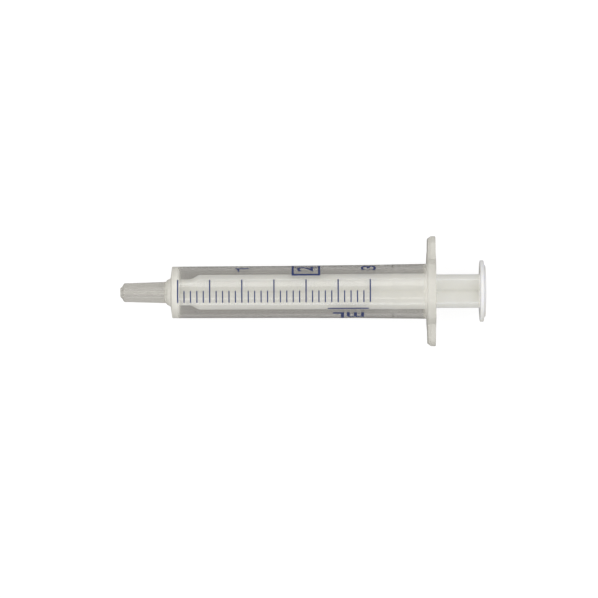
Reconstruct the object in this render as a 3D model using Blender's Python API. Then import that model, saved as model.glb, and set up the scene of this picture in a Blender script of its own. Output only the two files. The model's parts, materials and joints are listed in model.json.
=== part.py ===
"""Two-piece oral syringe, 2 mL nominal with a scale to 3 mL: a clear moulded barrel and a white moulded plunger.

The syringe's axis is world X, nozzle towards -X and thumb rest towards +X, with the origin on the axis at half of the closed length. The finger flange's wings point along +Y and -Y, and its two flats face +Z and -Z. Each piece is drawn in its own frame: x along the axis, in millimetres from the piece's own origin.
"""

import math

import bmesh
import bpy
from mathutils import Matrix

MM = 0.001
SEG = 72  # sides of every round surface, so that the seal and the bore have parallel facets

# Barrel, stations measured from the nozzle's end
TOTAL_LENGTH = 78.1  # closed syringe, nozzle end to thumb rest
TIP = ((0.0, 0.95), (0.10, 1.05), (0.45, 1.36), (0.66, 1.78), (0.84, 2.01))  # flat end and coned lead-in
LUER_AT = 0.75
LUER_DIAMETER = 4.02  # diameter at LUER_AT
LUER_TAPER = 0.06
NOZZLE_END = 9.78
HUB_FRONT_RADIUS, HUB_REAR_RADIUS = 2.62, 3.0
HUB_END = 10.76
SHOULDER = 11.1
OUTER = ((SHOULDER, 5.52), (34.0, 5.575), (53.0, 5.71), (65.62, 5.89))  # the draft grows towards the flange
NOZZLE_BORE = 0.6
BORE = 4.825  # 41.0 mm of travel for 3 mL
FRONT_WALL_INNER = 11.72  # where the bore meets the conical front wall
FRONT_CONE = 0.75  # axial depth of that cone
BEAD_START, BEAD_CREST_A, BEAD_CREST_B, BEAD_END = 58.1, 58.6, 59.3, 59.8
BEAD_HEIGHT = 0.12
MOUTH_START, MOUTH_WIDEN = 66.75, 0.3

# Finger flange
DISC_FRONT, DISC_REAR = 65.62, 67.44
DISC_RADIUS = 8.8
DISC_FLAT = 6.7
DISC_CHAMFER = 0.25
WING_FRONT, WING_REAR = 65.74, 67.38
WING_REACH = 11.75
WING_HALF_DEPTH = 5.4
WING_CORNER = 2.6
WING_CHAMFER_X, WING_CHAMFER_R = 0.72, 0.5
FLANGE_FILLET = 0.35

# Plunger, stations measured from the front edge of its seal
SEAL_FRONT_AT = 12.02  # where that edge sits in the closed barrel
SEAL_RADIUS = 4.80
SEAL_LENGTH = 0.62
NOSE_LENGTH = 0.75
NECK_HALF = 3.16
ROD_HALF_FRONT = 4.33  # from the axis to a rib's edge
ROD_HALF_REAR = 4.36
NECK_END = 2.8
TAPER_END = 5.15
RIB_HALF = 0.8
RIB_EDGE = 0.15
WEB_FILLET = 0.5
THUMB_FRONT = 64.9
THUMB_REAR = 65.74
LAND_REAR = TOTAL_LENGTH - SEAL_FRONT_AT
THUMB_RADIUS = 6.6
LAND_RADIUS = 5.5


def clear_scene():
    for obj in list(bpy.data.objects):
        bpy.data.objects.remove(obj, do_unlink=True)


def plastic(name, colour, roughness, alpha=1.0):
    material = bpy.data.materials.new(name)
    material.use_nodes = True
    shader = material.node_tree.nodes["Principled BSDF"]
    shader.inputs["Base Color"].default_value = (*colour, 1.0)
    shader.inputs["Roughness"].default_value = roughness
    shader.inputs["Metallic"].default_value = 0.0
    shader.inputs["IOR"].default_value = 1.49
    shader.inputs["Alpha"].default_value = alpha
    material.diffuse_color = (*colour, alpha)
    return material


def loft(bm, loops):
    """Faces between each loop of points and the next. A loop of one point closes that end, and two end loops of many points are capped."""
    rows = [[bm.verts.new((x * MM, y * MM, z * MM)) for x, y, z in loop] for loop in loops]
    for a, b in zip(rows, rows[1:]):
        n = max(len(a), len(b))
        for k in range(n):
            corners = [a[k % len(a)], a[(k + 1) % len(a)], b[(k + 1) % len(b)], b[k % len(b)]]
            bm.faces.new(list(dict.fromkeys(corners)))
    if len(rows[0]) > 1:
        bm.faces.new(list(reversed(rows[0])))
    if len(rows[-1]) > 1:
        bm.faces.new(rows[-1])


def ring(x, radius):
    if radius == 0:
        return [(x, 0.0, 0.0)]
    return [
        (x, radius * math.cos(2 * math.pi * k / SEG), radius * math.sin(2 * math.pi * k / SEG))
        for k in range(SEG)
    ]


def arc(cx, cr, radius, start, end, steps):
    """Profile points (x, r) on an arc about (cx, cr), angles in degrees from +x towards +r."""
    return [
        (
            cx + radius * math.cos(math.radians(start + (end - start) * k / steps)),
            cr + radius * math.sin(math.radians(start + (end - start) * k / steps)),
        )
        for k in range(steps + 1)
    ]


def solid(name, loops, helper=False):
    """An object whose mesh is the closed loft of these loops, faces outward."""
    bm = bmesh.new()
    loft(bm, loops)
    bmesh.ops.recalc_face_normals(bm, faces=bm.faces)
    if bm.calc_volume(signed=True) < 0:
        bmesh.ops.reverse_faces(bm, faces=bm.faces)
    for face in bm.faces:
        face.smooth = True
    for edge in bm.edges:
        if len(edge.link_faces) == 2 and edge.calc_face_angle() > math.radians(28):
            edge.smooth = False
    mesh = bpy.data.meshes.new(name)
    bm.to_mesh(mesh)
    bm.free()
    obj = bpy.data.objects.new(name, mesh)
    bpy.context.scene.collection.objects.link(obj)
    if helper:
        obj.hide_render = True
        obj.display_type = "WIRE"
    return obj


def boolean(obj, other, operation, name):
    modifier = obj.modifiers.new(name, "BOOLEAN")
    modifier.operation = operation
    modifier.solver = "EXACT"
    modifier.object = other


def revolved(name, profile, helper=False):
    return solid(name, [ring(x, r) for x, r in profile], helper)


def luer_radius(x):
    return LUER_DIAMETER / 2 + LUER_TAPER / 2 * (x - LUER_AT)


def outer_radius(x):
    for (x0, r0), (x1, r1) in zip(OUTER, OUTER[1:]):
        if x <= x1:
            break
    return r0 + (r1 - r0) * (x - x0) / (x1 - x0)


def barrel_outside():
    """Nozzle, hub, shoulder and drafted tube as one full solid, ending inside the flange."""
    front = outer_radius(SHOULDER)
    profile = [(0.0, 0.0), *TIP]
    profile += [
        (NOZZLE_END - 0.2, luer_radius(NOZZLE_END - 0.2)),
        (NOZZLE_END, luer_radius(NOZZLE_END) + 0.05),
        (NOZZLE_END + 0.12, HUB_FRONT_RADIUS - 0.15),
        (NOZZLE_END + 0.24, HUB_FRONT_RADIUS),
        (HUB_END - 0.05, HUB_REAR_RADIUS),
        (HUB_END + 0.08, HUB_REAR_RADIUS + 0.17),
        (SHOULDER - 0.06, front - 0.22),
        (SHOULDER + 0.02, front - 0.07),
        (SHOULDER + 0.18, outer_radius(SHOULDER + 0.18)),
    ]
    root = outer_radius(DISC_FRONT - FLANGE_FILLET)
    profile += [(34.0, outer_radius(34.0)), (53.0, outer_radius(53.0))]
    profile += arc(DISC_FRONT - FLANGE_FILLET, root + FLANGE_FILLET, FLANGE_FILLET, -90, 0, 4)
    profile += [(DISC_FRONT + 0.9, root + FLANGE_FILLET), (DISC_FRONT + 0.9, 0.0)]
    return revolved("barrel", profile)


def barrel_inside():
    """The fluid path and bore as a full solid, to be cut away. It runs past both ends."""
    profile = [
        (-1.0, 0.0),
        (-1.0, NOZZLE_BORE),
        (FRONT_WALL_INNER - FRONT_CONE, NOZZLE_BORE),
        (FRONT_WALL_INNER, BORE),
        (35.0, BORE),
        (BEAD_START, BORE),
        (BEAD_CREST_A, BORE - BEAD_HEIGHT),
        (BEAD_CREST_B, BORE - BEAD_HEIGHT),
        (BEAD_END, BORE),
        (MOUTH_START, BORE),
        (DISC_REAR, BORE + MOUTH_WIDEN),
        (DISC_REAR + 1.0, BORE + MOUTH_WIDEN),
        (DISC_REAR + 1.0, 0.0),
    ]
    return revolved("cut_bore", profile, helper=True)


def disc_loop(x, inset):
    """Round disc with two flats, drawn inward by inset."""
    radius, flat = DISC_RADIUS - inset, DISC_FLAT - inset
    edge = math.asin(flat / radius)
    points = []
    for start, end in ((-edge, edge), (math.pi - edge, math.pi + edge)):
        for k in range(25):
            a = start + (end - start) * k / 24
            points.append((x, radius * math.cos(a), radius * math.sin(a)))
    return points


def flange_disc():
    return solid(
        "flange_disc",
        [
            disc_loop(DISC_FRONT, DISC_CHAMFER),
            disc_loop(DISC_FRONT + DISC_CHAMFER, 0.0),
            disc_loop(DISC_REAR - 0.1, 0.0),
            disc_loop(DISC_REAR, 0.1),
        ],
        helper=True,
    )


def wing_loop(x, inset):
    """Rectangle with rounded corners, drawn inward by inset."""
    reach, depth, corner = WING_REACH - inset, WING_HALF_DEPTH - inset, WING_CORNER - inset
    points = []
    for sy, sz, start in ((1, 1, 0), (-1, 1, 90), (-1, -1, 180), (1, -1, 270)):
        for k in range(9):
            a = math.radians(start + 90 * k / 8)
            points.append(
                (
                    x,
                    sy * (reach - corner) + corner * math.cos(a),
                    sz * (depth - corner) + corner * math.sin(a),
                )
            )
    return points


def flange_wings():
    return solid(
        "flange_wings",
        [
            wing_loop(WING_FRONT, WING_CHAMFER_R),
            wing_loop(WING_FRONT + WING_CHAMFER_X, 0.0),
            wing_loop(WING_REAR - 0.08, 0.0),
            wing_loop(WING_REAR, 0.08),
        ],
        helper=True,
    )


def build_barrel():
    barrel = barrel_outside()
    disc, wings, bore = flange_disc(), flange_wings(), barrel_inside()
    boolean(barrel, disc, "UNION", "FlangeDisc")
    boolean(barrel, wings, "UNION", "FlangeWings")
    boolean(barrel, bore, "DIFFERENCE", "Bore")
    for helper in (disc, wings, bore):
        helper.parent = barrel
    barrel.location = (-TOTAL_LENGTH / 2 * MM, 0.0, 0.0)
    barrel.data.materials.append(plastic("clear_polypropylene", (0.80, 0.82, 0.81), 0.12, 0.45))
    return barrel


def cross_loop(x, half):
    """Section of the rod: four equal ribs at 45 degrees to the flange's wings, rounded at their edges and filleted where they meet."""
    quadrant = [(half, RIB_HALF - RIB_EDGE), (half - RIB_EDGE, RIB_HALF)]
    centre = RIB_HALF + WEB_FILLET
    for k in range(5):
        a = math.radians(270 - 90 * k / 4)
        quadrant.append((centre + WEB_FILLET * math.cos(a), centre + WEB_FILLET * math.sin(a)))
    quadrant += [(RIB_HALF, half - RIB_EDGE), (RIB_HALF - RIB_EDGE, half)]
    points = []
    for turn in range(4):
        spin = Matrix.Rotation(math.pi / 2 * (turn + 0.5), 2)
        for y, z in quadrant:
            points.append((x, spin[0][0] * y + spin[0][1] * z, spin[1][0] * y + spin[1][1] * z))
    return points


def rod_half(x):
    """Reach of the ribs from the axis: a narrow neck behind the seal, an S-shaped run-out, then a slight draft."""
    if x <= NECK_END:
        return NECK_HALF
    if x < TAPER_END:
        t = (x - NECK_END) / (TAPER_END - NECK_END)
        return NECK_HALF + (ROD_HALF_FRONT - NECK_HALF) * t * t * (3 - 2 * t)
    t = (x - TAPER_END) / (THUMB_FRONT - TAPER_END)
    return ROD_HALF_FRONT + (ROD_HALF_REAR - ROD_HALF_FRONT) * t


def plunger_rod():
    stations = [SEAL_LENGTH - 0.25, NECK_END]
    stations += [NECK_END + (TAPER_END - NECK_END) * k / 8 for k in range(1, 9)]
    stations += [25.0, 45.0, THUMB_FRONT + 0.3]
    return solid("plunger", [cross_loop(x, rod_half(x)) for x in stations])


def plunger_seal():
    """Conical nose and a seal of two lips with a groove between them."""
    mid = SEAL_LENGTH / 2
    profile = [
        (-NOSE_LENGTH, 0.0),
        (-NOSE_LENGTH + 0.01, 0.95),
        (-0.09, SEAL_RADIUS - 0.35),
        (0.03, SEAL_RADIUS - 0.06),
        (0.10, SEAL_RADIUS),
        (mid - 0.10, SEAL_RADIUS),
        (mid - 0.05, SEAL_RADIUS - 0.09),
        (mid + 0.05, SEAL_RADIUS - 0.09),
        (mid + 0.10, SEAL_RADIUS),
        (SEAL_LENGTH - 0.08, SEAL_RADIUS),
        (SEAL_LENGTH, SEAL_RADIUS - 0.08),
        (SEAL_LENGTH, 0.0),
    ]
    return revolved("plunger_seal", profile, helper=True)


def plunger_thumb():
    """Thumb rest with a rounded rim and a raised rear land that carries two shallow grip grooves."""
    r, edge = THUMB_RADIUS, 0.28
    profile = [(THUMB_FRONT, 0.0), (THUMB_FRONT, r - edge)]
    profile += arc(THUMB_FRONT + edge, r - edge, edge, 180, 90, 4)[1:]
    profile += arc(THUMB_REAR - edge, r - edge, edge, 90, 0, 4)
    profile += [(THUMB_REAR, LAND_RADIUS + 0.08), (LAND_REAR - 0.06, LAND_RADIUS), (LAND_REAR, LAND_RADIUS - 0.1)]
    for groove in (4.7, 3.9):
        profile += [
            (LAND_REAR, groove),
            (LAND_REAR - 0.12, groove - 0.12),
            (LAND_REAR - 0.12, groove - 0.28),
            (LAND_REAR, groove - 0.40),
        ]
    profile.append((LAND_REAR, 0.0))
    return revolved("plunger_thumb", profile, helper=True)


def build_plunger():
    plunger = plunger_rod()
    seal, thumb = plunger_seal(), plunger_thumb()
    boolean(plunger, seal, "UNION", "Seal")
    boolean(plunger, thumb, "UNION", "Thumb")
    for helper in (seal, thumb):
        helper.parent = plunger
    plunger.location = ((SEAL_FRONT_AT - TOTAL_LENGTH / 2) * MM, 0.0, 0.0)
    plunger.data.materials.append(plastic("white_polyethylene", (0.86, 0.86, 0.84), 0.38))
    return plunger


clear_scene()
build_barrel()
build_plunger()
bpy.context.view_layer.update()
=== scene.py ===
"""Oral syringe: clear moulded barrel, white moulded plunger and blue printed scale, on a pale floor.

Lengths in the tables below are millimetres. Stations along the axis are counted from the nozzle's end, which is at world x = X0.
"""

import json
import math

import bmesh
import bpy
from mathutils import Matrix, Vector, noise

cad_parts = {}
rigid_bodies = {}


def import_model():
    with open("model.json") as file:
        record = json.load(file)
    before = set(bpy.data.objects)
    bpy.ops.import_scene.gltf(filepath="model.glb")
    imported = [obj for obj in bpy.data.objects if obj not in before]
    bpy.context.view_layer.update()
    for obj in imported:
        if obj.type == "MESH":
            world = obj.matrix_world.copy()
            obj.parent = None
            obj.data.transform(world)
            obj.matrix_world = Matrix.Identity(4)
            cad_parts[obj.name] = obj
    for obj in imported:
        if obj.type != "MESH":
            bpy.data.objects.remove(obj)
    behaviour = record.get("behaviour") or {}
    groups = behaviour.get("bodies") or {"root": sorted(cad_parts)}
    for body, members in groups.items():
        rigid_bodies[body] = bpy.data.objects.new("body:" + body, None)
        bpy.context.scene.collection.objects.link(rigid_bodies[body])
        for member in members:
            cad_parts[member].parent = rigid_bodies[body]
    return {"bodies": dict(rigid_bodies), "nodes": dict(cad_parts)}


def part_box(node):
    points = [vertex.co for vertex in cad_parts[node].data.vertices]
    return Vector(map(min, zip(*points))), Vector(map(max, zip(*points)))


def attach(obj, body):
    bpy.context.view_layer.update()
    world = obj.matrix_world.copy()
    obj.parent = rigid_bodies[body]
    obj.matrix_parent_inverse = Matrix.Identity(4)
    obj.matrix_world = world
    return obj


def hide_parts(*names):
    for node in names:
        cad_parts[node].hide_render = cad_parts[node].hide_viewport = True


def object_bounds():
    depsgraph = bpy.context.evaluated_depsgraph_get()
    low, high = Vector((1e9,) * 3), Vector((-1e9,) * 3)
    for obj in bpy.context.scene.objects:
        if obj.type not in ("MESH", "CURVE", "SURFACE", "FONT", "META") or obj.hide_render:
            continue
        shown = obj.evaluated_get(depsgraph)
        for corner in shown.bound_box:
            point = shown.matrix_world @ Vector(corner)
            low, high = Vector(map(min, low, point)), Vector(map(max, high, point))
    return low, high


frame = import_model()
cad_low, cad_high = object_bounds()
nodes = frame["nodes"]
MM = 0.001
X0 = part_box("barrel")[0].x / MM
AXIS = (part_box("barrel")[0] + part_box("barrel")[1]) / 2
SEAL_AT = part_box("plunger")[0].x / MM + 0.75 - X0  # front edge of the seal in the closed syringe
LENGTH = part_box("plunger")[1].x / MM - X0

# Barrel
TIP = ((0.0, 0.95), (0.10, 1.05), (0.45, 1.36), (0.66, 1.78), (0.84, 2.01))
NOZZLE_BORE = 0.6
NOZZLE_END, HUB_END, HUB_FRONT_RADIUS, HUB_REAR_RADIUS = 9.78, 10.76, 2.62, 3.0
SHOULDER = 11.1
OUTER = ((SHOULDER, 5.52), (34.0, 5.575), (53.0, 5.71), (65.62, 5.89))
BORE = 4.825
FRONT_WALL_INNER, FRONT_CONE = 11.72, 0.75
BEAD = (58.1, 58.6, 59.3, 59.8, 0.12)
DISC_FRONT, DISC_REAR, DISC_RADIUS, DISC_FLAT = 65.62, 67.44, 8.8, 6.7
DISC_CHAMFER = 0.25
WING_FRONT, WING_REAR, WING_REACH, WING_HALF_DEPTH, WING_CORNER = 65.74, 67.38, 11.75, 5.4, 2.6
WING_CHAMFER_X, WING_CHAMFER_R = 0.72, 0.5
MOUTH_START, MOUTH_WIDEN = 66.75, 0.3

# Plunger, from the front edge of the seal
SEAL_RADIUS, SEAL_LENGTH, NOSE_LENGTH = 4.80, 0.62, 0.75
NECK_HALF, ROD_HALF_FRONT, ROD_HALF_REAR = 3.16, 4.33, 4.36
NECK_END, TAPER_END = 2.8, 5.15
RIB_HALF, RIB_EDGE, WEB_FILLET = 0.8, 0.15, 0.5
THUMB_FRONT = 64.9
THUMB_REAR = 65.74
THUMB_RADIUS, LAND_RADIUS = 6.6, 5.5
LAND_REAR = LENGTH - SEAL_AT

# Printed scale
SCALE_ZERO, SCALE_STEP, SCALE_TICKS = 12.38, 1.3680, 31

scene = bpy.context.scene


# ---------------------------------------------------------------- mesh helpers


def link(name, mesh):
    obj = bpy.data.objects.new(name, mesh)
    scene.collection.objects.link(obj)
    return obj


def finish_mesh(bm, name, sharp_deg=32):
    bmesh.ops.recalc_face_normals(bm, faces=bm.faces)
    if bm.calc_volume(signed=True) < 0:
        bmesh.ops.reverse_faces(bm, faces=bm.faces)
    for face in bm.faces:
        face.smooth = True
    for edge in bm.edges:
        edge.smooth = not (len(edge.link_faces) == 2 and edge.calc_face_angle() > math.radians(sharp_deg))
    mesh = bpy.data.meshes.new(name)
    bm.to_mesh(mesh)
    bm.free()
    return link(name, mesh)


def weighted(obj):
    modifier = obj.modifiers.new("WeightedNormal", "WEIGHTED_NORMAL")
    modifier.mode = "FACE_AREA"
    modifier.keep_sharp = True
    modifier.weight = 50
    return obj


def rounded(points, closed=True):
    """points are (x, r, radius, steps); each corner becomes steps + 1 points on a fillet of that radius, fewer than that only if steps is 0."""
    made = []
    n = len(points)
    for i, (x, r, radius, steps) in enumerate(points):
        if steps == 0:
            made.append((x, r))
            continue
        here = Vector((x, r))
        a = Vector(points[(i - 1) % n][:2]) - here
        b = Vector(points[(i + 1) % n][:2]) - here
        la, lb = a.length, b.length
        if la < 1e-7 or lb < 1e-7:
            made += [(x, r)] * (steps + 1)
            continue
        a, b = a / la, b / lb
        cosine = max(-1.0, min(1.0, a.dot(b)))
        angle = math.acos(cosine)
        if angle > math.radians(178):
            for k in range(steps + 1):
                p = here + (a if k < steps / 2 else b) * (1e-3 * abs(k - steps / 2))
                made.append((p.x, p.y))
            continue
        reach = min(radius / math.tan(angle / 2), la * 0.45, lb * 0.45)
        rho = reach * math.tan(angle / 2)
        bisector = (a + b).normalized()
        centre = here + bisector * (rho / math.sin(angle / 2))
        start, end = here + a * reach - centre, here + b * reach - centre
        a0, a1 = math.atan2(start.y, start.x), math.atan2(end.y, end.x)
        turn = (a1 - a0 + math.pi) % (2 * math.pi) - math.pi
        for k in range(steps + 1):
            t = a0 + turn * k / steps
            made.append((centre.x + rho * math.cos(t), centre.y + rho * math.sin(t)))
    return made


# ---------------------------------------------------------------- barrel


def outer_radius(x):
    for (x0, r0), (x1, r1) in zip(OUTER, OUTER[1:]):
        if x <= x1:
            break
    return r0 + (r1 - r0) * (x - x0) / (x1 - x0)


def luer_radius(x):
    return 2.01 + 0.03 * (x - 0.75)


def disc_outline(a, inset):
    s = abs(math.sin(a))
    radius = DISC_RADIUS - inset
    return min(radius, (DISC_FLAT - inset) / s) if s > 1e-9 else radius


def wing_outline(a, inset):
    """Where a ray from the axis at angle a leaves the rounded rectangle of the wings."""
    c, s = abs(math.cos(a)), abs(math.sin(a))
    reach, depth, corner = WING_REACH - inset, WING_HALF_DEPTH - inset, WING_CORNER - inset
    if c > 1e-9 and reach / c * s <= depth - corner:
        return reach / c
    if s > 1e-9 and depth / s * c <= reach - corner:
        return depth / s
    cy, cz = reach - corner, depth - corner
    along = c * cy + s * cz
    return along + math.sqrt(max(along * along - (cy * cy + cz * cz - corner * corner), 0.0))


def flange_front(a):
    rd, rw = disc_outline(a, 0.0), wing_outline(a, 0.0)
    rd_in = disc_outline(a, DISC_CHAMFER)
    if rw - rd >= WING_CHAMFER_R - DISC_CHAMFER + (WING_FRONT - DISC_FRONT):
        return [
            (DISC_FRONT, rd_in),
            (WING_FRONT, rd_in + (WING_FRONT - DISC_FRONT)),
            (WING_FRONT, wing_outline(a, WING_CHAMFER_R)),
            (WING_FRONT + WING_CHAMFER_X, rw),
        ]
    if rw > rd:
        return [
            (DISC_FRONT, rd_in),
            (DISC_FRONT + DISC_CHAMFER, rd),
            (
                max(
                    WING_FRONT + WING_CHAMFER_X * (1 - (rw - rd) / WING_CHAMFER_R),
                    DISC_FRONT + DISC_CHAMFER + 0.02,
                ),
                rd,
            ),
            (WING_FRONT + WING_CHAMFER_X, rw),
        ]
    return [
        (DISC_FRONT, rd_in),
        (DISC_FRONT + DISC_CHAMFER, rd),
        (66.3, rd),
        (WING_FRONT + WING_CHAMFER_X, rd),
    ]


def flange_rear(a):
    rd, rw = disc_outline(a, 0.0), wing_outline(a, 0.0)
    rd_in = disc_outline(a, 0.1)
    if rw - rd > 0.15:
        return [(WING_REAR - 0.08, rw), (WING_REAR, rw - 0.08), (WING_REAR, rd_in + 0.06), (DISC_REAR, rd_in)]
    out = max(rd, rw)
    return [(WING_REAR - 0.08, out), (DISC_REAR - 0.1, out), (WING_REAR, rd_in + 0.06), (DISC_REAR, rd_in)]


def barrel_profile(a):
    """The closed outline of the barrel's wall in the half plane at angle a, as (x, r) points. Every angle gives the same number of points."""
    outline = [(0.0, NOZZLE_BORE, 0.06, 3)]
    outline += [(x, r, radius, 3) for (x, r), radius in zip(TIP, (0.06, 0.4, 0.5, 0.3, 0.25))]
    outline += [(x, luer_radius(x), 0.0, 0) for x in (2.5, 4.2, 5.9, 7.6)]
    outline += [
        (NOZZLE_END, luer_radius(NOZZLE_END), 0.20, 4),
        (NOZZLE_END + 0.18, HUB_FRONT_RADIUS, 0.15, 4),
        (HUB_END, HUB_REAR_RADIUS + 0.02, 0.15, 4),
        (SHOULDER, OUTER[0][1], 0.16, 4),
    ]
    outline += [(x, outer_radius(x), 0.0, 0) for x in (14.0, 22.0, 28.0, 34.0, 40.0, 47.0, 53.0, 58.0, 62.0, 64.0)]
    outline.append((DISC_FRONT, outer_radius(DISC_FRONT), 0.35, 5))
    front, rear = flange_front(a), flange_rear(a)
    outline += [
        (*front[0], 0.06, 2),
        (*front[1], 0.05, 2),
        (*front[2], 0.12, 2),
        (*front[3], 0.18, 3),
        (*rear[0], 0.05, 2),
        (*rear[1], 0.05, 2),
        (*rear[2], 0.04, 2),
        (*rear[3], 0.04, 2),
        (DISC_REAR, BORE + MOUTH_WIDEN, 0.12, 3),
        (MOUTH_START, BORE, 0.30, 3),
    ]
    outline += [
        (BEAD[3], BORE, 2.0, 6),
        (BEAD[2], BORE - BEAD[4], 2.0, 6),
        (BEAD[1], BORE - BEAD[4], 2.0, 6),
        (BEAD[0], BORE, 2.0, 6),
    ]
    outline += [(x, BORE, 0.0, 0) for x in (48.0, 36.0, 24.0, 15.0)]
    outline += [
        (FRONT_WALL_INNER, BORE, 0.18, 4),
        (FRONT_WALL_INNER - FRONT_CONE, NOZZLE_BORE, 0.15, 3),
        (7.0, NOZZLE_BORE - 0.01, 0.0, 0),
        (3.5, NOZZLE_BORE - 0.005, 0.0, 0),
    ]
    return rounded(outline)


def barrel_angles():
    """Even steps round the axis, plus the directions where the flange's outline has a corner."""
    steps = 240
    angles = [2 * math.pi * k / steps for k in range(steps)]
    first = [
        math.asin(DISC_FLAT / DISC_RADIUS),
        math.asin(WING_HALF_DEPTH / DISC_RADIUS),
        math.asin(WING_HALF_DEPTH / DISC_RADIUS) - 0.008,
        math.asin(WING_HALF_DEPTH / DISC_RADIUS) + 0.008,
        math.atan2(WING_HALF_DEPTH - WING_CORNER, WING_REACH),
        math.atan2(WING_HALF_DEPTH, WING_REACH - WING_CORNER),
    ]
    for turn in (0.0, math.pi):
        for a in first:
            angles += [turn + a, (turn - a) % (2 * math.pi)]
    angles = sorted(a % (2 * math.pi) for a in angles)
    kept = [angles[0]]
    for a in angles[1:]:
        if a - kept[-1] > 0.004:
            kept.append(a)
    return kept


def build_barrel():
    angles = barrel_angles()
    bm = bmesh.new()
    rows = []
    for a in angles:
        c, s = math.cos(a), math.sin(a)
        rows.append([bm.verts.new(((X0 + x) * MM, r * c * MM, r * s * MM)) for x, r in barrel_profile(a)])
    n = len(rows[0])
    for i in range(len(rows)):
        p, q = rows[i], rows[(i + 1) % len(rows)]
        for k in range(n):
            bm.faces.new((p[k], p[(k + 1) % n], q[(k + 1) % n], q[k]))
    bmesh.ops.dissolve_degenerate(bm, dist=1e-8, edges=bm.edges)
    return weighted(finish_mesh(bm, "barrel_moulding", 34))


# ---------------------------------------------------------------- plunger


def revolve(name, outline, sides=192, sharp=32):
    """Closed solid of revolution about the axis from (x, r) points that start and end on it."""
    bm = bmesh.new()
    rows = []
    for x, r in outline:
        if r < 1e-9:
            rows.append([bm.verts.new((x * MM, 0, 0))])
        else:
            rows.append(
                [
                    bm.verts.new(
                        (
                            x * MM,
                            r * math.cos(2 * math.pi * k / sides) * MM,
                            r * math.sin(2 * math.pi * k / sides) * MM,
                        )
                    )
                    for k in range(sides)
                ]
            )
    for a, b in zip(rows, rows[1:]):
        for k in range(sides):
            corners = [a[k % len(a)], a[(k + 1) % len(a)], b[(k + 1) % len(b)], b[k % len(b)]]
            corners = list(dict.fromkeys(corners))
            if len(corners) > 2:
                bm.faces.new(corners)
    return finish_mesh(bm, name, sharp)


def cross_section(half, width):
    quadrant = [
        (half, width - RIB_EDGE),
        (half - RIB_EDGE * 0.3, width - RIB_EDGE * 0.3),
        (half - RIB_EDGE, width),
    ]
    centre = width + WEB_FILLET
    for k in range(7):
        a = math.radians(270 - 90 * k / 6)
        quadrant.append((centre + WEB_FILLET * math.cos(a), centre + WEB_FILLET * math.sin(a)))
    quadrant += [
        (width, half - RIB_EDGE),
        (width - RIB_EDGE * 0.3, half - RIB_EDGE * 0.3),
        (width - RIB_EDGE, half),
    ]
    points = []
    for turn in range(4):
        # The ribs stand at 45 degrees to the flange's wings.
        c, s = math.cos(math.pi / 2 * (turn + 0.5)), math.sin(math.pi / 2 * (turn + 0.5))
        points += [(c * y - s * z, s * y + c * z) for y, z in quadrant]
    return points


def rod_half(x):
    if x <= NECK_END:
        return NECK_HALF
    if x < TAPER_END:
        t = (x - NECK_END) / (TAPER_END - NECK_END)
        return NECK_HALF + (ROD_HALF_FRONT - NECK_HALF) * t * t * (3 - 2 * t)
    return ROD_HALF_FRONT + (ROD_HALF_REAR - ROD_HALF_FRONT) * (x - TAPER_END) / (THUMB_FRONT - TAPER_END)


def build_rod():
    stations = [SEAL_LENGTH - 0.25, 1.2, 2.0, NECK_END]
    stations += [NECK_END + (TAPER_END - NECK_END) * k / 14 for k in range(1, 15)]
    stations += [8 + 4 * k for k in range(15)] + [THUMB_FRONT + 0.25]
    bm = bmesh.new()
    rows = []
    for x in stations:
        rows.append([bm.verts.new((x * MM, y * MM, z * MM)) for y, z in cross_section(rod_half(x), RIB_HALF)])
    for a, b in zip(rows, rows[1:]):
        for k in range(len(a)):
            bm.faces.new((a[k], a[(k + 1) % len(a)], b[(k + 1) % len(a)], b[k]))
    bm.faces.new(list(reversed(rows[0])))
    bm.faces.new(rows[-1])
    return finish_mesh(bm, "plunger_moulding")


def seal_outline():
    mid = SEAL_LENGTH / 2
    return rounded(
        [
            (-NOSE_LENGTH, 0.0, 0.0, 0),
            (-NOSE_LENGTH + 0.01, 0.95, 0.15, 3),
            (-0.09, SEAL_RADIUS - 0.35, 0.12, 3),
            (0.06, SEAL_RADIUS, 0.06, 3),
            (mid - 0.08, SEAL_RADIUS, 0.04, 2),
            (mid, SEAL_RADIUS - 0.10, 0.04, 2),
            (mid + 0.08, SEAL_RADIUS, 0.04, 2),
            (SEAL_LENGTH, SEAL_RADIUS, 0.08, 3),
            (SEAL_LENGTH, 0.0, 0.0, 0),
        ]
    )


def thumb_outline():
    points = [
        (THUMB_FRONT, 0.0, 0.0, 0),
        (THUMB_FRONT, THUMB_RADIUS, 0.28, 6),
        (THUMB_REAR, THUMB_RADIUS, 0.28, 6),
        (THUMB_REAR, LAND_RADIUS + 0.06, 0.06, 2),
        (LAND_REAR, LAND_RADIUS, 0.10, 3),
    ]
    for groove in (4.7, 3.9):
        points += [
            (LAND_REAR, groove, 0.04, 2),
            (LAND_REAR - 0.12, groove - 0.12, 0.05, 2),
            (LAND_REAR - 0.12, groove - 0.28, 0.05, 2),
            (LAND_REAR, groove - 0.40, 0.04, 2),
        ]
    points += [(LAND_REAR, 0.75, 0.02, 1), (LAND_REAR - 0.06, 0.68, 0.02, 1), (LAND_REAR - 0.06, 0.0, 0.0, 0)]
    return rounded(points)


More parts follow.
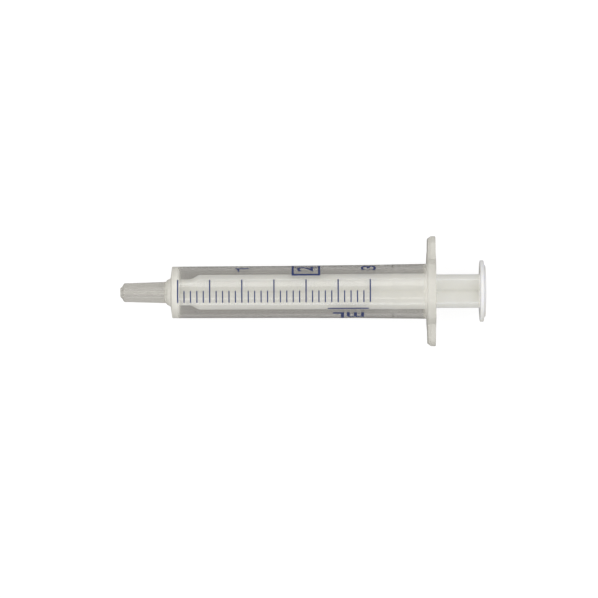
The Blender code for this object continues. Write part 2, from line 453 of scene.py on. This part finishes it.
def joined(obj, others):
    """obj with the others united into it, as one plain mesh."""
    for other in others:
        modifier = obj.modifiers.new("Union", "BOOLEAN")
        modifier.operation = "UNION"
        modifier.solver = "EXACT"
        modifier.object = other
    graph = bpy.context.evaluated_depsgraph_get()
    mesh = bpy.data.meshes.new_from_object(obj.evaluated_get(graph), depsgraph=graph)
    obj.modifiers.clear()
    obj.data = mesh
    for other in others:
        bpy.data.objects.remove(other, do_unlink=True)
    bm = bmesh.new()
    bm.from_mesh(mesh)
    bmesh.ops.remove_doubles(bm, verts=bm.verts, dist=1e-8)
    bmesh.ops.dissolve_degenerate(bm, dist=1e-8, edges=bm.edges)
    for face in bm.faces:
        face.smooth = True
    for edge in bm.edges:
        edge.smooth = not (len(edge.link_faces) == 2 and edge.calc_face_angle() > math.radians(32))
    bm.to_mesh(mesh)
    bm.free()
    return obj


def build_plunger():
    rod = build_rod()
    seal = revolve("seal_form", seal_outline())
    thumb = revolve("thumb_form", thumb_outline())
    obj = joined(rod, [seal, thumb])
    obj.data.transform(Matrix.Translation(((X0 + SEAL_AT) * MM, 0, 0)))
    obj.data.update()
    return weighted(obj)


# ---------------------------------------------------------------- printed ink

INK_LIFT, INK_SINK = 0.014, 0.004


def on_barrel(x, s, lift):
    """World point on the barrel's outside: x from the nozzle's end, s the arc from the top line towards +Y, both in mm."""
    r = outer_radius(x)
    a = s / r
    return Vector(((X0 + x) * MM, (r + lift) * math.sin(a) * MM, (r + lift) * math.cos(a) * MM))


def ink_from_quads(name, patches):
    """Thin closed solids of ink from (x0, x1, s0, s1) patches."""
    bm = bmesh.new()
    for x0, x1, s0, s1 in patches:
        nx = max(1, round((x1 - x0) / 1.5))
        ns = max(1, round((s1 - s0) / 0.2))
        layers = []
        for lift in (-INK_SINK, INK_LIFT):
            layers.append(
                [
                    [bm.verts.new(on_barrel(x0 + (x1 - x0) * i / nx, s0 + (s1 - s0) * j / ns, lift)) for j in range(ns + 1)]
                    for i in range(nx + 1)
                ]
            )
        low, high = layers
        for i in range(nx):
            for j in range(ns):
                bm.faces.new((high[i][j], high[i + 1][j], high[i + 1][j + 1], high[i][j + 1]))
                bm.faces.new((low[i][j], low[i][j + 1], low[i + 1][j + 1], low[i + 1][j]))
        for i in range(nx):
            bm.faces.new((low[i][0], low[i + 1][0], high[i + 1][0], high[i][0]))
            bm.faces.new((low[i + 1][ns], low[i][ns], high[i][ns], high[i + 1][ns]))
        for j in range(ns):
            bm.faces.new((low[0][j + 1], low[0][j], high[0][j], high[0][j + 1]))
            bm.faces.new((low[nx][j], low[nx][j + 1], high[nx][j + 1], high[nx][j]))
    return finish_mesh(bm, name, 40)


def ink_from_text(name, text, size_v, size_u, place, bold=0.0):
    """Thin closed solid of ink in the shape of plain text. size_v is its height and size_u its width in mm, and place turns (u, v) about the text's middle into (x, s)."""
    curve = bpy.data.curves.new(name + "_curve", "FONT")
    curve.body = text
    curve.extrude = 0.5
    curve.offset = bold
    curve.resolution_u = 6
    holder = link(name + "_holder", curve)
    graph = bpy.context.evaluated_depsgraph_get()
    mesh = bpy.data.meshes.new_from_object(holder.evaluated_get(graph), depsgraph=graph)
    bpy.data.objects.remove(holder, do_unlink=True)
    bm = bmesh.new()
    bm.from_mesh(mesh)
    bpy.data.meshes.remove(mesh)
    bmesh.ops.remove_doubles(bm, verts=bm.verts, dist=1e-5)
    us = [v.co.x for v in bm.verts]
    vs = [v.co.y for v in bm.verts]
    u0, u1, v0, v1 = min(us), max(us), min(vs), max(vs)
    for v in bm.verts:
        v.co.x = (v.co.x - (u0 + u1) / 2) / (u1 - u0) * size_u
        v.co.y = (v.co.y - (v0 + v1) / 2) / (v1 - v0) * size_v
        v.co.z = 1.0 if v.co.z > 0 else 0.0
    for axis, half in ((0, size_u / 2), (1, size_v / 2)):
        step = 0.25
        cut = -half + step
        while cut < half - 0.02:
            normal = [0.0, 0.0, 0.0]
            normal[axis] = 1.0
            point = [0.0, 0.0, 0.0]
            point[axis] = cut
            bmesh.ops.bisect_plane(
                bm, geom=bm.verts[:] + bm.edges[:] + bm.faces[:], dist=1e-6, plane_co=point, plane_no=normal
            )
            cut += step
    for v in bm.verts:
        x, s = place(v.co.x, v.co.y)
        v.co = on_barrel(x, s, INK_LIFT if v.co.z > 0.5 else -INK_SINK)
    return finish_mesh(bm, name, 40)


def ink_from_polygon(name, points, place):
    """Thin closed solid of ink in the shape of a flat polygon of (u, v) points in mm."""
    bm = bmesh.new()
    bm.faces.new([bm.verts.new((u, v, 0.0)) for u, v in points])
    for axis in (0, 1):
        values = [v.co[axis] for v in bm.verts]
        cut = min(values) + 0.22
        while cut < max(values) - 0.02:
            point, normal = [0.0] * 3, [0.0] * 3
            point[axis], normal[axis] = cut, 1.0
            bmesh.ops.bisect_plane(
                bm, geom=bm.verts[:] + bm.edges[:] + bm.faces[:], dist=1e-6, plane_co=point, plane_no=normal
            )
            cut += 0.22
    top = bmesh.ops.extrude_face_region(bm, geom=bm.faces[:])["geom"]
    for v in [g for g in top if isinstance(g, bmesh.types.BMVert)]:
        v.co.z = 1.0
    for v in bm.verts:
        x, s = place(v.co.x, v.co.y)
        v.co = on_barrel(x, s, INK_LIFT if v.co.z > 0.5 else -INK_SINK)
    return finish_mesh(bm, name, 40)


FIGURE_ONE = (
    (0.24, -1.475),
    (0.66, -1.475),
    (0.66, 1.475),
    (0.36, 1.475),
    (0.22, 1.20),
    (-0.06, 1.00),
    (-0.72, 0.93),
    (-0.72, 0.62),
    (0.24, 0.66),
)


def build_ink():
    made = []
    # Ticks: every fifth is long; all end on one line.
    row_end = -2.30
    short_top, long_top = 0.28, 2.76
    for kind, top, half, members in (
        ("scale_long_ticks", long_top, 0.145, range(0, SCALE_TICKS, 5)),
        ("scale_short_ticks", short_top, 0.13, [n for n in range(SCALE_TICKS) if n % 5]),
    ):
        made.append(
            ink_from_quads(
                kind,
                [
                    (SCALE_ZERO + SCALE_STEP * n - half, SCALE_ZERO + SCALE_STEP * n + half, row_end, top)
                    for n in members
                ],
            )
        )
    # Numerals read with the nozzle up: their tops point to the nozzle and their right sides to +Y.
    at = SCALE_ZERO + SCALE_STEP * 10 + 0.06
    made.append(ink_from_polygon("numeral_1", FIGURE_ONE, lambda u, v, at=at: (at - v, 5.74 + u)))
    for text, mark, width, height, centre, shift in (
        ("2", 20, 2.05, 3.4, 5.98, -0.2),
        ("3", 30, 2.0, 3.2, 6.36, -0.35),
    ):
        at = SCALE_ZERO + SCALE_STEP * mark + shift
        made.append(
            ink_from_text(
                "numeral_" + text,
                text,
                height,
                width,
                lambda u, v, at=at, centre=centre: (at - v, centre + u),
                bold=0.012,
            )
        )
    # The frame round the nominal capacity
    fx0, fx1, fs0, fs1, line = 36.68, 42.78, 3.74, 8.2, 0.46
    made.append(
        ink_from_quads(
            "numeral_frame",
            [
                (fx0, fx1, fs0, fs0 + line),
                (fx0, fx1, fs1 - line, fs1),
                (fx0, fx0 + line, fs0 + line, fs1 - line),
                (fx1 - line, fx1, fs0 + line, fs1 - line),
            ],
        )
    )
    # A plain rule and the unit, on the lower side, read from the other side
    made.append(ink_from_quads("unit_rule", [(44.35, 53.1, -3.98, -3.70)]))
    made.append(
        ink_from_text("unit_mL", "mL", 3.0, 6.6, lambda u, v: (48.8 - u, -6.55 - v), bold=0.012)
    )
    return made


# ---------------------------------------------------------------- materials

FLOOR_GREY = 0.40  # what the clear plastic shows of the floor
FLOOR_WHITE = 0.84


def new_material(name):
    material = bpy.data.materials.new(name)
    material.use_nodes = True
    tree = material.node_tree
    tree.nodes.clear()
    return material, tree


def node(tree, kind, **settings):
    made = tree.nodes.new(kind)
    for key, value in settings.items():
        if key.startswith("in_"):
            made.inputs[key[3:].replace("_", " ")].default_value = value
        else:
            setattr(made, key, value)
    return made


def ramp(tree, source, stops, smooth=False):
    """stops are (position, colour or grey value)."""
    made = tree.nodes.new("ShaderNodeValToRGB")
    tree.links.new(source, made.inputs["Fac"])
    if smooth:
        made.color_ramp.interpolation = "EASE"
    stops = [(p, c if isinstance(c, tuple) else (c, c, c)) for p, c in stops]
    first, last = made.color_ramp.elements[0], made.color_ramp.elements[1]
    first.position, last.position = stops[0][0], stops[-1][0]
    first.color, last.color = (*stops[0][1], 1.0), (*stops[-1][1], 1.0)
    for position, colour in stops[1:-1]:
        made.color_ramp.elements.new(position).color = (*colour, 1.0)
    return made.outputs["Color"]


def spread(tree, source, low, high):
    made = tree.nodes.new("ShaderNodeMapRange")
    made.inputs["To Min"].default_value, made.inputs["To Max"].default_value = low, high
    tree.links.new(source, made.inputs["Value"])
    return made.outputs["Result"]


def math_node(tree, operation, a, b=None):
    made = tree.nodes.new("ShaderNodeMath")
    made.operation = operation
    for socket, value in zip(made.inputs, (a, b)):
        if value is None:
            continue
        if isinstance(value, (int, float)):
            socket.default_value = value
        else:
            tree.links.new(value, socket)
    return made.outputs[0]


def along_syringe(tree, place):
    """0 at the nozzle's end, 1 at the thumb rest's end of the closed syringe."""
    split = tree.nodes.new("ShaderNodeSeparateXYZ")
    tree.links.new(place, split.inputs[0])
    made = tree.nodes.new("ShaderNodeMapRange")
    made.inputs["From Min"].default_value = X0 * MM
    made.inputs["From Max"].default_value = (X0 + LENGTH) * MM
    tree.links.new(split.outputs["X"], made.inputs["Value"])
    return made.outputs["Result"]


def clear_plastic():
    """Natural polypropylene: clear where the wall is thin, milky where it is thick, with a faintly drawn surface. Its
    haze also carries painted light: a painted highlight over the seal's front, and painted light and shade along the
    syringe.
    """
    material, tree = new_material("clear_polypropylene")
    links = tree.links
    out = node(tree, "ShaderNodeOutputMaterial")
    place = node(tree, "ShaderNodeTexCoord").outputs["Object"]
    fine = node(tree, "ShaderNodeTexNoise", in_Scale=900.0, in_Detail=4.0, in_Roughness=0.55)
    flow_map = node(tree, "ShaderNodeMapping")
    flow_map.inputs["Scale"].default_value = (90.0, 240.0, 240.0)
    flow = node(tree, "ShaderNodeTexNoise", in_Scale=1.0, in_Detail=3.0, in_Roughness=0.5)
    links.new(place, fine.inputs["Vector"])
    links.new(place, flow_map.inputs["Vector"])
    links.new(flow_map.outputs[0], flow.inputs["Vector"])
    bump = node(tree, "ShaderNodeBump", in_Strength=0.03, in_Distance=0.0001)
    links.new(fine.outputs["Fac"], bump.inputs["Height"])
    glass = node(tree, "ShaderNodeBsdfPrincipled")
    glass.inputs["Base Color"].default_value = (0.978, 0.973, 0.962, 1)
    glass.inputs["IOR"].default_value = 1.49
    glass.inputs["Transmission Weight"].default_value = 1.0
    links.new(spread(tree, flow.outputs["Fac"], 0.06, 0.09), glass.inputs["Roughness"])
    links.new(bump.outputs[0], glass.inputs["Normal"])
    haze = node(tree, "ShaderNodeBsdfPrincipled")
    haze.inputs["Roughness"].default_value = 0.35
    # Painted light and shade in the haze's colour: it is painted lightest in the front wall, for the light the white
    # plunger scatters into it, and painted darker over the flange, most at its rear, as painted shade evening out the
    # light falling there. It is also a little darker and yellower in the nozzle.
    shade = ramp(
        tree,
        along_syringe(tree, place),
        [
            (x / LENGTH, value)
            for x, value in (
                (0.0, (0.855, 0.84, 0.79)),
                (9.3, (0.865, 0.85, 0.80)),
                (10.4, (1.0, 0.995, 0.97)),
                (60.0, (0.98, 0.98, 0.98)),
                (65.5, (0.95, 0.945, 0.92)),
                (67.5, (0.93, 0.925, 0.90)),
            )
        ],
    )
    tone = tree.nodes.new("ShaderNodeVectorMath")
    tone.operation = "MULTIPLY"
    links.new(
        ramp(tree, fine.outputs["Fac"], [(0.3, (0.82, 0.806, 0.752)), (0.7, (0.85, 0.836, 0.788))]), tone.inputs[0]
    )
    links.new(shade, tone.inputs[1])
    links.new(tone.outputs["Vector"], haze.inputs["Base Color"])
    links.new(bump.outputs[0], haze.inputs["Normal"])
    # Milk follows the wall's thickness: heavy in the nozzle, the front wall and the flange. Kept high past the front
    # wall's inside, out to about 12.6 mm, it is a painted highlight on the barrel over where the seal's front stands.
    milk_and_painted_highlight = ramp(
        tree,
        along_syringe(tree, place),
        [
            (x / LENGTH, value)
            for x, value in (
                (0.0, 0.30),
                (0.9, 0.20),
                (9.3, 0.20),
                (10.2, 0.66),
                (11.0, 0.82),
                (12.2, 0.88),
                (12.7, 0.12),
                (13.5, 0.05),
                (54.0, 0.05),
                (58.6, 0.10),
                (60.5, 0.085),
                (64.8, 0.10),
                (65.6, 0.60),
                (67.5, 0.60),
            )
        ],
    )
    # The walls of the nozzle's narrow bore add little to the haze.
    from_axis = tree.nodes.new("ShaderNodeVectorMath")
    from_axis.operation = "MULTIPLY"
    from_axis.inputs[1].default_value = (0.0, 1.0, 1.0)
    links.new(place, from_axis.inputs[0])
    reach = tree.nodes.new("ShaderNodeVectorMath")
    reach.operation = "LENGTH"
    links.new(from_axis.outputs["Vector"], reach.inputs[0])
    outer = tree.nodes.new("ShaderNodeMapRange")
    outer.inputs["From Min"].default_value, outer.inputs["From Max"].default_value = 0.7 * MM, 1.1 * MM
    outer.inputs["To Min"].default_value, outer.inputs["To Max"].default_value = 0.12, 1.0
    links.new(reach.outputs["Value"], outer.inputs["Value"])
    uneven = math_node(tree, "MULTIPLY", outer.outputs["Result"], spread(tree, flow.outputs["Fac"], 0.85, 1.15))
    cloudy_and_painted_highlight = math_node(tree, "MULTIPLY", milk_and_painted_highlight, uneven)
    milky = node(tree, "ShaderNodeMixShader")
    links.new(cloudy_and_painted_highlight, milky.inputs[0])
    links.new(glass.outputs[0], milky.inputs[1])
    links.new(haze.outputs[0], milky.inputs[2])
    see = node(tree, "ShaderNodeBsdfTransparent")
    see.inputs["Color"].default_value = (0.972, 0.97, 0.963, 1)
    path = node(tree, "ShaderNodeLightPath")
    either = node(tree, "ShaderNodeMath", operation="MAXIMUM")
    links.new(path.outputs["Is Shadow Ray"], either.inputs[0])
    links.new(path.outputs["Is Diffuse Ray"], either.inputs[1])
    mix = node(tree, "ShaderNodeMixShader")
    links.new(either.outputs[0], mix.inputs[0])
    links.new(milky.outputs[0], mix.inputs[1])
    links.new(see.outputs[0], mix.inputs[2])
    links.new(mix.outputs[0], out.inputs["Surface"])
    return material


def white_plastic():
    """Natural-white polyethylene: satin and a little translucent."""
    material, tree = new_material("white_polyethylene")
    links = tree.links
    out = node(tree, "ShaderNodeOutputMaterial")
    place = node(tree, "ShaderNodeTexCoord").outputs["Object"]
    cloud = node(tree, "ShaderNodeTexNoise", in_Scale=260.0, in_Detail=3.0, in_Roughness=0.5)
    grain = node(tree, "ShaderNodeTexNoise", in_Scale=2600.0, in_Detail=2.0, in_Roughness=0.6)
    links.new(place, cloud.inputs["Vector"])
    links.new(place, grain.inputs["Vector"])
    # Painted light: the thumb rest's colour is painted much lighter than the rod's, though both are the one moulding,
    # to brighten its dim, edge-on rim.
    rod = ramp(tree, cloud.outputs["Fac"], [(0.30, (0.750, 0.745, 0.702)), (0.70, (0.780, 0.775, 0.737))])
    rest = ramp(tree, cloud.outputs["Fac"], [(0.30, (0.95, 0.94, 0.912)), (0.70, (0.975, 0.965, 0.94))])
    at_rest = ramp(tree, along_syringe(tree, place), [(0.9805, 0.0), (0.9838, 1.0)])
    blend = tree.nodes.new("ShaderNodeMix")
    blend.data_type = "RGBA"
    links.new(at_rest, blend.inputs["Factor"])
    links.new(rod, blend.inputs["A"])
    links.new(rest, blend.inputs["B"])
    colour = blend.outputs["Result"]
    bump = node(tree, "ShaderNodeBump", in_Strength=0.12, in_Distance=0.00004)
    links.new(grain.outputs["Fac"], bump.inputs["Height"])
    plastic = node(tree, "ShaderNodeBsdfPrincipled")
    plastic.inputs["IOR"].default_value = 1.51
    plastic.inputs["Subsurface Weight"].default_value = 0.9
    plastic.inputs["Subsurface Radius"].default_value = (1.0, 0.97, 0.88)
    links.new(spread(tree, at_rest, 0.0029, 0.0005), plastic.inputs["Subsurface Scale"])
    links.new(colour, plastic.inputs["Base Color"])
    links.new(spread(tree, cloud.outputs["Fac"], 0.34, 0.48), plastic.inputs["Roughness"])
    links.new(bump.outputs[0], plastic.inputs["Normal"])
    links.new(plastic.outputs[0], out.inputs["Surface"])
    return material


def ink():
    """Blue pad-printed ink with slightly uneven cover."""
    material, tree = new_material("blue_ink")
    links = tree.links
    out = node(tree, "ShaderNodeOutputMaterial")
    place = node(tree, "ShaderNodeTexCoord").outputs["Object"]
    speck = node(tree, "ShaderNodeTexNoise", in_Scale=3200.0, in_Detail=3.0, in_Roughness=0.6)
    links.new(place, speck.inputs["Vector"])
    colour = ramp(tree, speck.outputs["Fac"], [(0.30, (0.018, 0.032, 0.125)), (0.72, (0.036, 0.056, 0.19))])
    bump = node(tree, "ShaderNodeBump", in_Strength=0.15, in_Distance=0.00001)
    links.new(speck.outputs["Fac"], bump.inputs["Height"])
    shader = node(tree, "ShaderNodeBsdfPrincipled")
    links.new(colour, shader.inputs["Base Color"])
    links.new(spread(tree, speck.outputs["Fac"], 0.40, 0.60), shader.inputs["Roughness"])
    links.new(bump.outputs[0], shader.inputs["Normal"])
    links.new(shader.outputs[0], out.inputs["Surface"])
    return material


def floor_material():
    """Pale, plain floor, exposed to white. The object itself sees and reflects it as a soft grey."""
    material, tree = new_material("floor_pale")
    links = tree.links
    out = node(tree, "ShaderNodeOutputMaterial")
    place = node(tree, "ShaderNodeTexCoord").outputs["Object"]
    cloud = node(tree, "ShaderNodeTexNoise", in_Scale=3.0, in_Detail=2.0)
    links.new(place, cloud.inputs["Vector"])
    near = node(tree, "ShaderNodeBsdfDiffuse")
    grey = (FLOOR_GREY, FLOOR_GREY * 0.975, FLOOR_GREY * 0.945)
    links.new(
        ramp(tree, cloud.outputs["Fac"], [(0.3, tuple(v * 0.99 for v in grey)), (0.7, tuple(v * 1.01 for v in grey))]),
        near.inputs["Color"],
    )
    shade = node(tree, "ShaderNodeBsdfDiffuse")
    shade.inputs["Color"].default_value = (0.25, 0.25, 0.25, 1)
    glow = node(tree, "ShaderNodeEmission")
    glow.inputs["Strength"].default_value = FLOOR_WHITE
    white = node(tree, "ShaderNodeAddShader")
    links.new(shade.outputs[0], white.inputs[0])
    links.new(glow.outputs[0], white.inputs[1])
    path = node(tree, "ShaderNodeLightPath")
    mix = node(tree, "ShaderNodeMixShader")
    links.new(path.outputs["Is Camera Ray"], mix.inputs[0])
    links.new(near.outputs[0], mix.inputs[1])
    links.new(white.outputs[0], mix.inputs[2])
    links.new(mix.outputs[0], out.inputs["Surface"])
    return material


def build_world():
    """A light tent: bright overhead, fair at its two ends (most so at the nozzle's), and dim at the sides, dimmest on the +Y side. The camera itself sees it white."""
    world = bpy.data.worlds.new("studio")
    scene.world = world
    world.use_nodes = True
    tree = world.node_tree
    tree.nodes.clear()
    out = tree.nodes.new("ShaderNodeOutputWorld")
    place = tree.nodes.new("ShaderNodeTexCoord").outputs["Generated"]
    split = tree.nodes.new("ShaderNodeSeparateXYZ")
    tree.links.new(place, split.inputs[0])
    height = ramp(tree, split.outputs["Z"], [(0.0, 0.32), (0.12, 0.34), (0.42, 0.54), (0.66, 0.78), (1.0, 0.82)])
    lean = math_node(tree, "MULTIPLY", math_node(tree, "MAXIMUM", split.outputs["Y"], 0.0), -0.22)
    ends = math_node(tree, "MULTIPLY", math_node(tree, "MULTIPLY", split.outputs["X"], split.outputs["X"]), 0.45)
    favour = math_node(tree, "SUBTRACT", 1.0, math_node(tree, "MULTIPLY", split.outputs["X"], 0.7))
    ends = math_node(tree, "MULTIPLY", ends, favour)
    low = math_node(tree, "SUBTRACT", 1.0, math_node(tree, "MAXIMUM", split.outputs["Z"], 0.0))
    level = math_node(tree, "MULTIPLY", math_node(tree, "ADD", lean, ends), low)
    colour = math_node(tree, "ADD", height, level)
    tent = tree.nodes.new("ShaderNodeBackground")
    tree.links.new(colour, tent.inputs["Color"])
    plain = tree.nodes.new("ShaderNodeBackground")
    plain.inputs["Color"].default_value = (1.0, 1.0, 1.0, 1)
    path = tree.nodes.new("ShaderNodeLightPath")
    mix = tree.nodes.new("ShaderNodeMixShader")
    tree.links.new(path.outputs["Is Camera Ray"], mix.inputs[0])
    tree.links.new(tent.outputs[0], mix.inputs[1])
    tree.links.new(plain.outputs[0], mix.inputs[2])
    tree.links.new(mix.outputs[0], out.inputs["Surface"])


def area_light(name, place, size, watts):
    data = bpy.data.lights.new(name, "AREA")
    data.shape = "RECTANGLE"
    data.size, data.size_y = size
    data.energy = watts
    obj = bpy.data.objects.new(name, data)
    scene.collection.objects.link(obj)
    obj.location = place
    obj.rotation_mode = "QUATERNION"
    obj.rotation_quaternion = (-Vector(place)).to_track_quat("-Z", "Y")
    obj.visible_camera = False
    return obj


def build_floor():
    z = cad_low.z - 0.00002
    bm = bmesh.new()
    size, cells = 3.0, 24
    grid = [
        [bm.verts.new((-size + 2 * size * i / cells, -size + 2 * size * j / cells, z)) for j in range(cells + 1)]
        for i in range(cells + 1)
    ]
    for i in range(cells):
        for j in range(cells):
            bm.faces.new((grid[i][j], grid[i + 1][j], grid[i + 1][j + 1], grid[i][j + 1]))
    mesh = bpy.data.meshes.new("floor")
    bm.to_mesh(mesh)
    bm.free()
    floor = link("floor", mesh)
    floor.data.materials.append(floor_material())
    return floor


def build_camera():
    """Straight above, a long way off. The camera carries half of the plunger's travel, so that a pulled-out plunger stays in the picture."""
    distance, px_per_mm = 0.95, 4.67
    data = bpy.data.cameras.new("camera")
    data.sensor_width = 36.0
    data.lens = 36.0 * distance / (598 / px_per_mm * MM)
    data.clip_start, data.clip_end = 0.01, 50
    camera = bpy.data.objects.new("camera", data)
    scene.collection.objects.link(camera)
    turn = math.radians(-0.27)
    aim_x, aim_y = (X0 + 38.23) * MM, -7.14 / px_per_mm * MM
    camera.location = (aim_x, aim_y, distance)
    camera.rotation_euler = (0, 0, turn)
    follow = camera.constraints.new("COPY_LOCATION")
    follow.target = frame["bodies"]["plunger"]
    follow.use_offset = True
    follow.influence = 0.5
    scene.camera = camera


# ---------------------------------------------------------------- build

barrel = build_barrel()
plunger = build_plunger()
prints = build_ink()

barrel.data.materials.clear()
barrel.data.materials.append(clear_plastic())
plunger.data.materials.clear()
plunger.data.materials.append(white_plastic())
blue = ink()
for piece in prints:
    piece.data.materials.append(blue)

for piece, node_name, slot in (
    (barrel, "barrel", "clear_polypropylene"),
    (plunger, "plunger", "white_polyethylene"),
):
    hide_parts(node_name)
    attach(piece, node_name)
for piece in prints:
    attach(piece, "barrel")

build_floor()
build_world()
area_light("softbox_key", (0.0, 0.60, 0.83), (1.2, 0.40), 2.4)
area_light("strip_high", (0.0, -0.50, 0.87), (1.2, 0.09), 0.7)
area_light("strip_low", (0.0, -0.82, 0.58), (1.2, 0.09), 0.7)
build_camera()

scene.view_settings.view_transform = "Standard"
scene.cycles.caustics_reflective = False
scene.cycles.caustics_refractive = False
scene.cycles.max_bounces = 24
scene.cycles.transmission_bounces = 20
scene.cycles.transparent_max_bounces = 32
